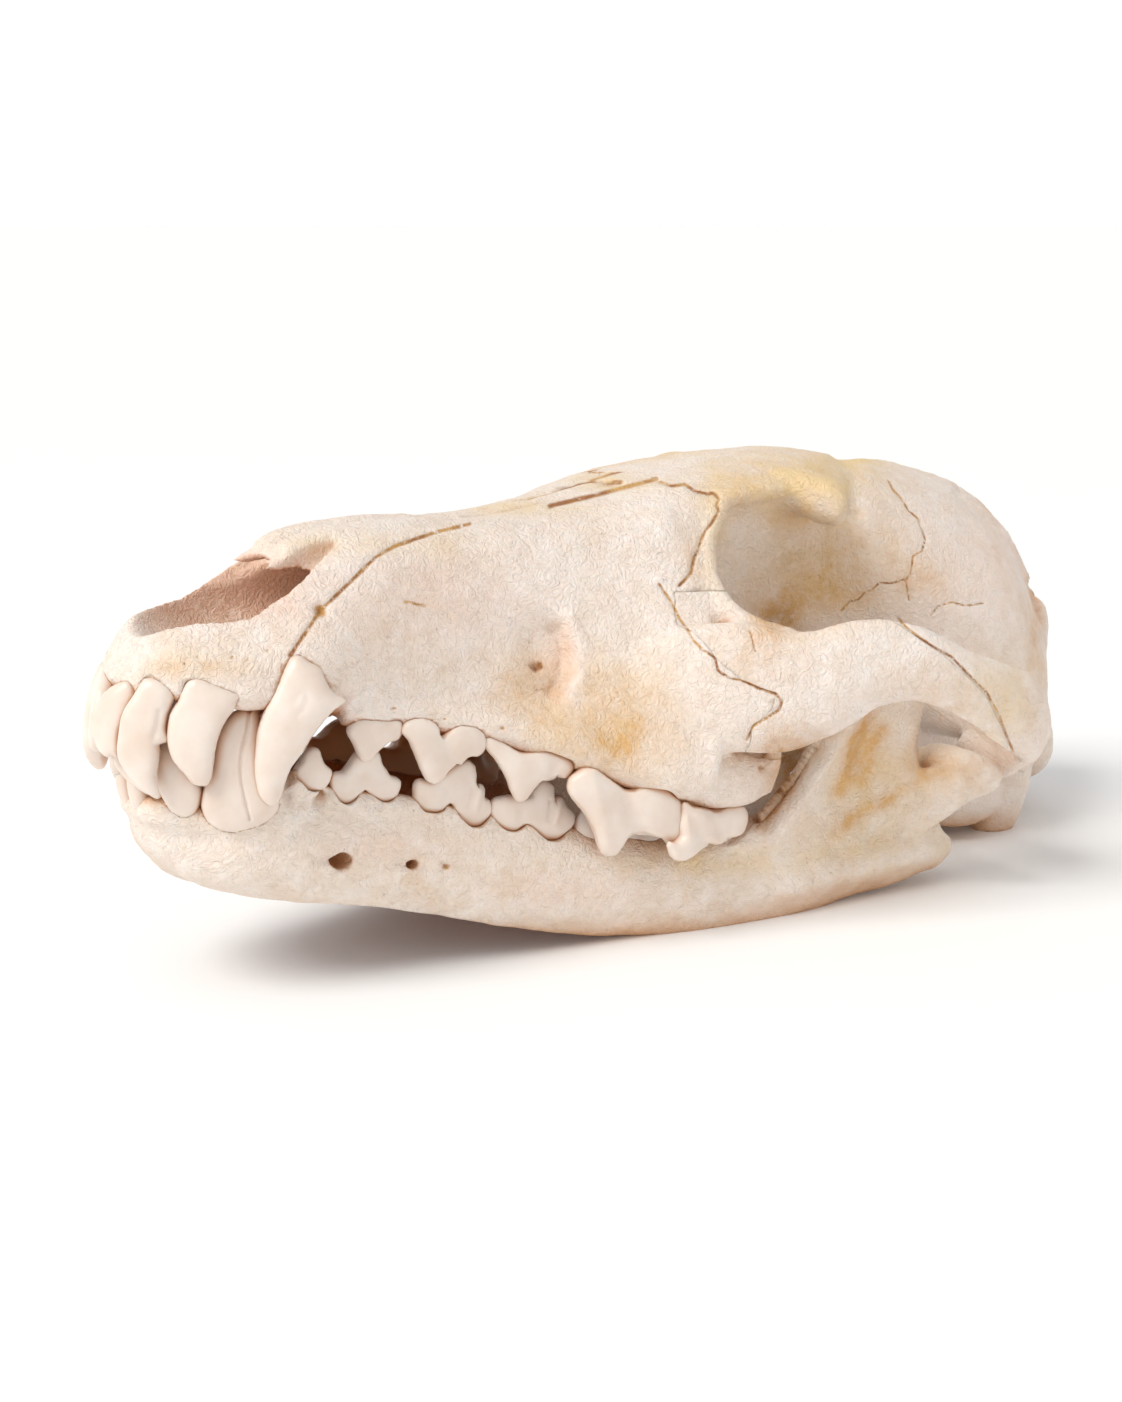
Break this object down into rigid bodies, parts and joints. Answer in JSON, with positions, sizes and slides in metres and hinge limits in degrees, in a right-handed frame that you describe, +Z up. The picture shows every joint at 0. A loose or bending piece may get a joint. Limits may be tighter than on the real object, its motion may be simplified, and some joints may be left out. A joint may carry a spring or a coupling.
{
  "type": "wolf skull",
  "caption": "Dry skull of a wolf with the jaws closed: upper skull, two cheek bones and two lower jaw bones with their teeth.",
  "frame": {"origin": "on the floor, under the middle of the skull as it rests", "axes": "+Z up, +Y towards the back of the head, +X towards the animal's left"},
  "size_m": [0.1406, 0.2692, 0.0989],
  "materials": {
    "cranium_bone": "dry cream bone with ivory teeth, satin",
    "cheek_bone": "dry cream bone, satin",
    "jaw_bone": "dry cream bone with ivory teeth, satin"
  },
  "bodies": {
    "root": {"cranium": "cranium_bone", "zygomatic_left": "cheek_bone", "zygomatic_right": "cheek_bone", "mandible_left": "jaw_bone", "mandible_right": "jaw_bone"}
  },
  "joints": []
}
